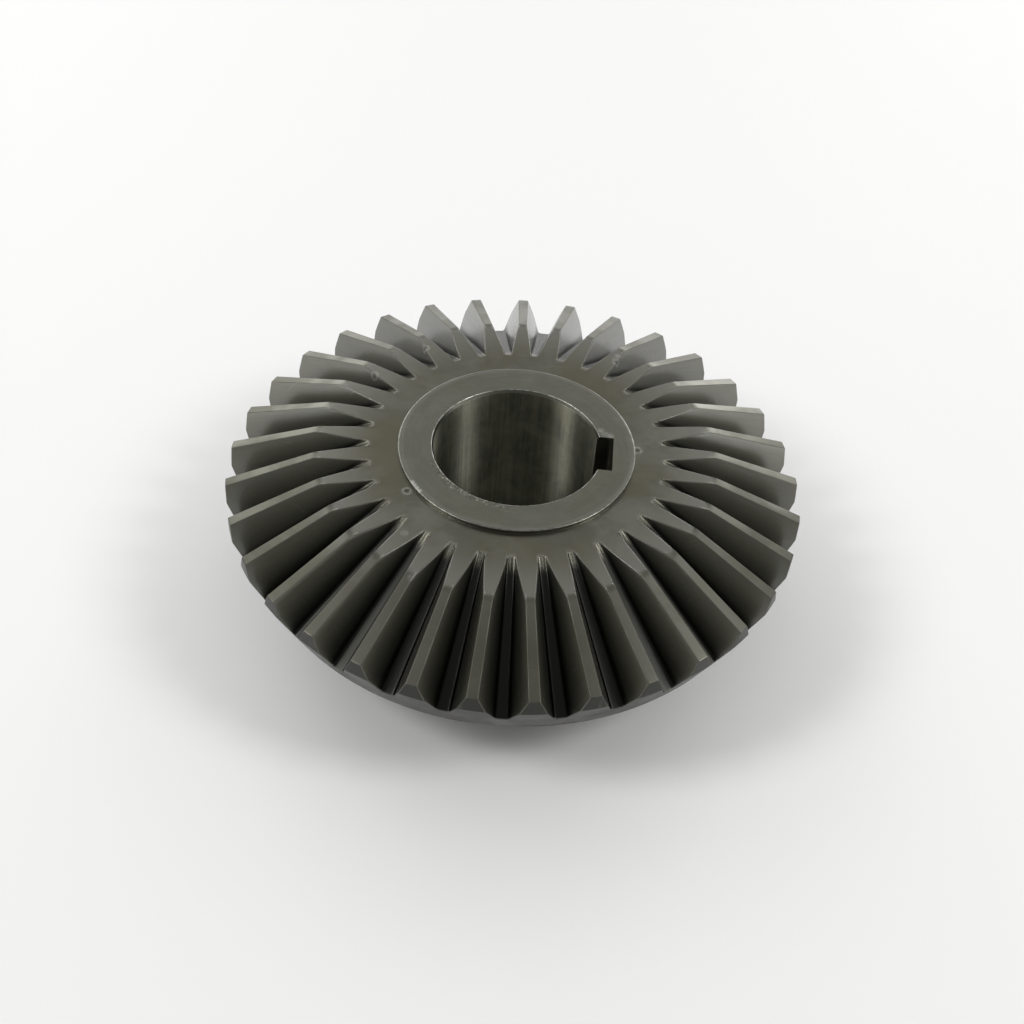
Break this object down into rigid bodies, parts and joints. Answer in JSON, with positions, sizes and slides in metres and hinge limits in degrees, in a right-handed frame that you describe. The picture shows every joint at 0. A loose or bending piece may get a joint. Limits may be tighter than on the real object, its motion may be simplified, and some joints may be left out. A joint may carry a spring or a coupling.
{
  "type": "bevel pinion gear",
  "caption": "Straight-cut bevel gear in dark oiled steel with a keyed through bore, a low raised boss in front and a hub behind; it turns a shaft drive through a right angle.",
  "frame": {"origin": "centre of the bore at the end of the hub, which is the face it stands on", "axes": "+Z along the bore axis from the hub to the toothed front, +X through the middle of the keyway"},
  "size_m": [0.1463, 0.1464, 0.045],
  "materials": {
    "gear_steel": "dark satin, oiled"
  },
  "bodies": {
    "root": {"bevel_gear": "gear_steel"}
  },
  "joints": []
}
